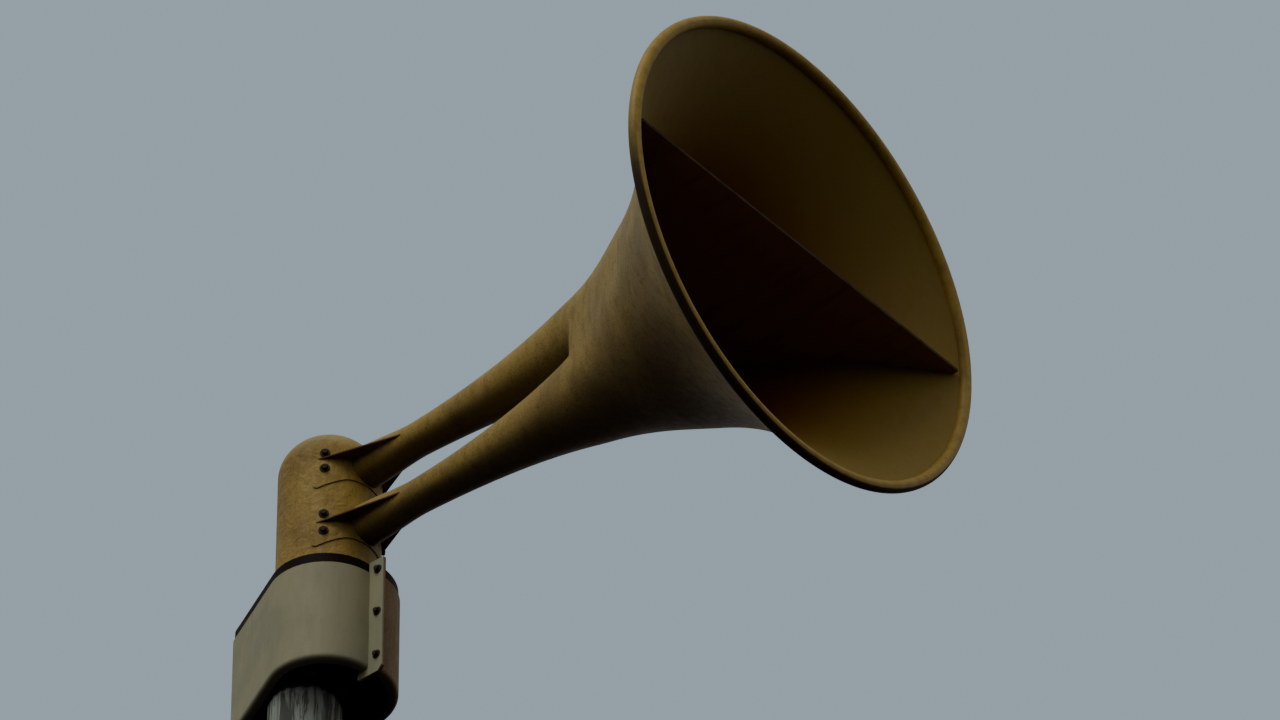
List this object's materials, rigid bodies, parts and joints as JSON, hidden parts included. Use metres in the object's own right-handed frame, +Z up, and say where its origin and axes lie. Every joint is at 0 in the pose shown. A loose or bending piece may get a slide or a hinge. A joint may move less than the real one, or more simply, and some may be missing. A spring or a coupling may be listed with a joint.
{
  "type": "rotating civil defense siren on a wooden pole",
  "caption": "Outdoor warning siren: a hollow two-throat fibreglass horn with a splitter on a domed housing, turning on top of a tapered wooden pole.",
  "frame": {"origin": "centre of the pole's foot at ground level", "axes": "+Z up along the pole, +X the way the horn points at rest"},
  "size_m": [1.929, 1.3, 14.2753],
  "materials": {
    "horn_gelcoat": "weathered ochre gelcoat on glass fibre",
    "cover_gelcoat": "weathered beige-grey gelcoat",
    "cover_shaded": "weathered brown-ochre gelcoat",
    "deck_primer": "dark red-brown primer",
    "machine_paint": "dark grey machine enamel",
    "galvanised": "dull hot-dip zinc",
    "pole_wood": "grey weathered pine with checks"
  },
  "bodies": {
    "mast": {"pole": "pole_wood", "base_plate": "galvanised", "spindle": "galvanised"},
    "siren_head": {"rotator_gearbox": "machine_paint", "turntable": "galvanised", "gearmotor": "machine_paint", "cheek_near": "galvanised", "cheek_far": "galvanised", "deck_plate": "deck_primer", "siren_motor": "machine_paint", "cover_near": "cover_gelcoat", "cover_far": "cover_shaded", "chopper_housing": "horn_gelcoat", "upper_pad": "horn_gelcoat", "lower_pad": "horn_gelcoat", "upper_throat": "horn_gelcoat", "lower_throat": "horn_gelcoat", "upper_gusset_near": "horn_gelcoat", "upper_gusset_far": "horn_gelcoat", "lower_gusset_near": "horn_gelcoat", "lower_gusset_far": "horn_gelcoat", "bell": "horn_gelcoat", "mouth_rim": "horn_gelcoat", "splitter": "horn_gelcoat"}
  },
  "joints": [
    {"name": "head_turn", "type": "hinge", "parent": "mast", "child": "siren_head", "pos_m": [0, 0, 13.08], "axis": [0, 0, 1], "continuous": true}
  ]
}
